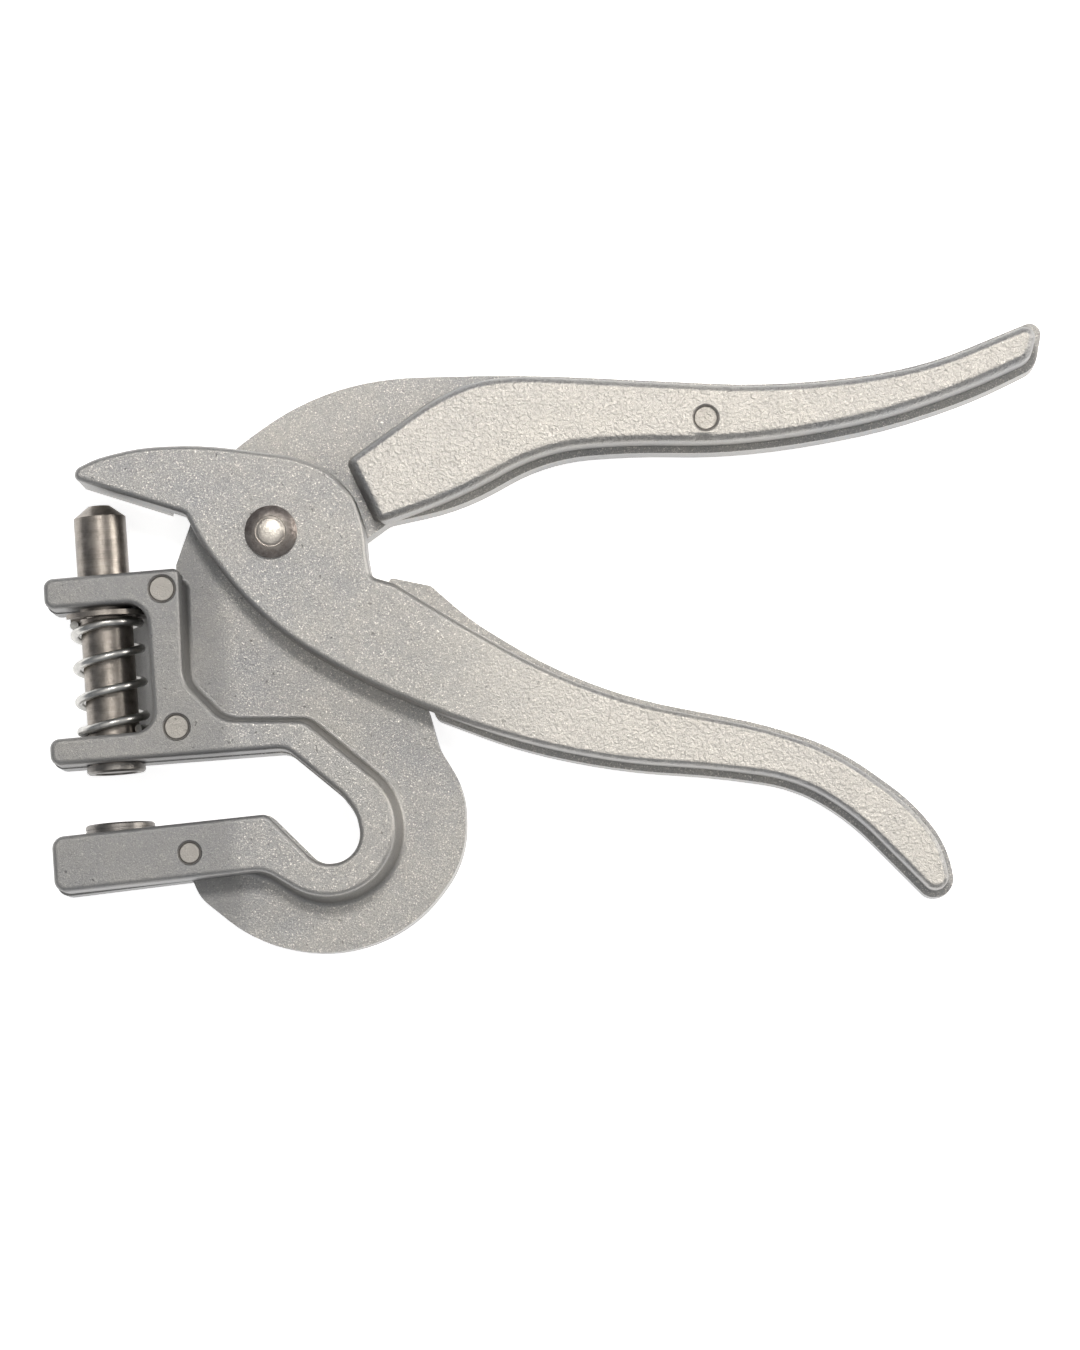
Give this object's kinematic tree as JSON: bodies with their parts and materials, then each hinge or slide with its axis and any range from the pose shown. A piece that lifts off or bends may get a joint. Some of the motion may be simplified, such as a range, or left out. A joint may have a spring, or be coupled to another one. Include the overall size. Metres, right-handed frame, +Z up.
{
  "type": "hand press pliers",
  "caption": "Die-cast hand press: squeezing the handles swings a lever whose beak drives a sprung plunger and die down onto a fixed die in a C-frame jaw.",
  "frame": {"origin": "pivot rivet's axis where it meets the surface that the tool lies on", "axes": "+X along the handles away from the jaws, +Y from the jaws towards the beak, +Z up through the casting's thickness"},
  "size_m": [0.2482, 0.1398, 0.0236],
  "materials": {
    "cast_frame": "as-cast satin, fine sparkling grain",
    "cast_lever": "as-cast satin, fine sparkling grain",
    "rivet_steel": "turned, dull",
    "plunger_steel": "ground, dull brown-grey",
    "spring_steel": "drawn wire",
    "clip_steel": "stamped",
    "die_steel": "turned, dark"
  },
  "bodies": {
    "frame": {"frame_casting": "cast_frame", "pivot_rivet": "rivet_steel", "rivet_washer": "rivet_steel", "return_spring": "spring_steel", "lower_die": "die_steel", "lower_die_ring": "spring_steel"},
    "lever": {"lever_casting": "cast_lever"},
    "plunger": {"plunger": "plunger_steel", "retaining_clip": "clip_steel", "upper_die": "die_steel", "upper_die_ring": "spring_steel"}
  },
  "joints": [
    {"name": "lever_pivot", "type": "hinge", "parent": "frame", "child": "lever", "pos_m": [0, 0, 0.0105], "axis": [0, 0, 1], "range_deg": [0, 19.5], "stiffness_Nm_per_rad": 1},
    {"name": "plunger_slide", "type": "slide", "parent": "frame", "child": "plunger", "axis": [0, -1, 0], "range_m": [0, 0.0112], "stiffness_N_per_m": 600, "deforming": ["return_spring"]}
  ],
  "couplings": [
    {"joint": "plunger_slide", "follows": "lever_pivot", "m_per_rad": 0.0329}
  ]
}
